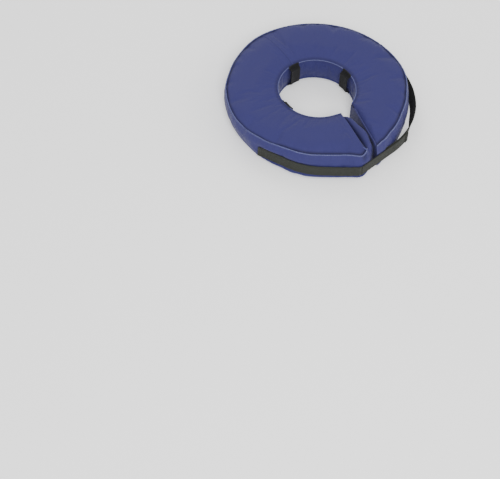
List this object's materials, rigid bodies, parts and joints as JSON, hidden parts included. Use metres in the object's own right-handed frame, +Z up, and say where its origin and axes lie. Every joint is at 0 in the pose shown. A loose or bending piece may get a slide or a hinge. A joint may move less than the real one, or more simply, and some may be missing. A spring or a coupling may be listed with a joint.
{
  "type": "inflatable recovery collar",
  "caption": "Inflatable split-ring recovery collar for a large dog, with a hook-and-loop closing strap, a zipped cover and an air valve.",
  "frame": {"origin": "middle of the ring, on the surface that it lies on", "axes": "+Z up along the ring's axis, -Y towards the split at the front, +X towards the arm that carries the loop strap"},
  "size_m": [0.3918, 0.4037, 0.066],
  "materials": {
    "cover_fabric": "matte",
    "cover_underside": "matte",
    "webbing": "matte",
    "hook_tape": "matte",
    "black_webbing": "matte",
    "zip_plastic": "satin",
    "zip_metal": "satin",
    "clear_vinyl": "gloss"
  },
  "bodies": {
    "root": {"top_panel_right": "cover_fabric", "bottom_panel_right": "cover_underside", "outer_band_right": "cover_fabric", "neck_band_right": "cover_fabric", "end_cap_right": "cover_fabric", "bladder_upper_film_right": "clear_vinyl", "bladder_lower_film_right": "clear_vinyl", "loop_strap": "webbing", "neck_loop_right": "black_webbing", "neck_loop_back": "black_webbing", "zip_tape_upper": "zip_plastic", "zip_tape_lower": "zip_plastic", "zip_teeth_upper": "zip_plastic", "zip_teeth_lower": "zip_plastic", "zip_bottom_stop": "zip_metal", "zip_top_stops": "zip_metal", "valve_base": "clear_vinyl", "valve_eyelet": "clear_vinyl"},
    "left_arm": {"top_panel_left": "cover_fabric", "bottom_panel_left": "cover_underside", "outer_band_left": "cover_fabric", "neck_band_left": "cover_fabric", "end_cap_left": "cover_fabric", "bladder_upper_film_left": "clear_vinyl", "bladder_lower_film_left": "clear_vinyl", "strap_base": "webbing", "neck_loop_left": "black_webbing"},
    "flap_near": {"strap_flap_near": "webbing"},
    "flap_end": {"strap_flap_end": "webbing", "hook_tape": "hook_tape", "strap_end_hem": "webbing"},
    "slider": {"zip_slider": "zip_metal"},
    "pull": {"zip_pull": "zip_metal"},
    "stem": {"valve_stem": "clear_vinyl"},
    "cap": {"valve_cap": "clear_vinyl"},
    "check_flap": {"valve_check_flap": "clear_vinyl"}
  },
  "joints": [
    {"name": "arm_opening", "type": "hinge", "parent": "root", "child": "left_arm", "pos_m": [-0.13789, 0.13789, 0.033], "axis": [0, 0, -1], "range_deg": [0, 24]},
    {"name": "flap_peel", "type": "hinge", "parent": "left_arm", "child": "flap_near", "pos_m": [-0.04492, -0.21001, 0.024], "axis": [0, 0, -1], "range_deg": [0, 120]},
    {"name": "flap_end_peel", "type": "hinge", "parent": "flap_near", "child": "flap_end", "pos_m": [0.04841, -0.19995, 0.024], "axis": [0, 0, -1], "range_deg": [0, 50]},
    {"name": "zip_travel", "type": "hinge", "parent": "root", "child": "slider", "pos_m": [0, 0, 0.033], "axis": [0, 0, -1], "range_deg": [0, 76], "deforming": ["zip_teeth_upper", "zip_teeth_lower"]},
    {"name": "pull_swing", "type": "hinge", "parent": "slider", "child": "pull", "pos_m": [-0.07536, 0.18104, 0.033], "axis": [0, 0, 1], "range_deg": [0, 150]},
    {"name": "stem_slide", "type": "slide", "parent": "root", "child": "stem", "axis": [0.9511, 0.309, 0], "range_m": [0, 0.01]},
    {"name": "cap_hinge", "type": "hinge", "parent": "stem", "child": "cap", "pos_m": [0.19012, 0.05205, 0.033], "axis": [0, 0, -1], "range_deg": [0, 150]},
    {"name": "check_flap_hinge", "type": "hinge", "parent": "stem", "child": "check_flap", "pos_m": [0.16781, 0.05453, 0.03845], "axis": [-0.309, 0.9511, 0], "range_deg": [0, 45]}
  ]
}
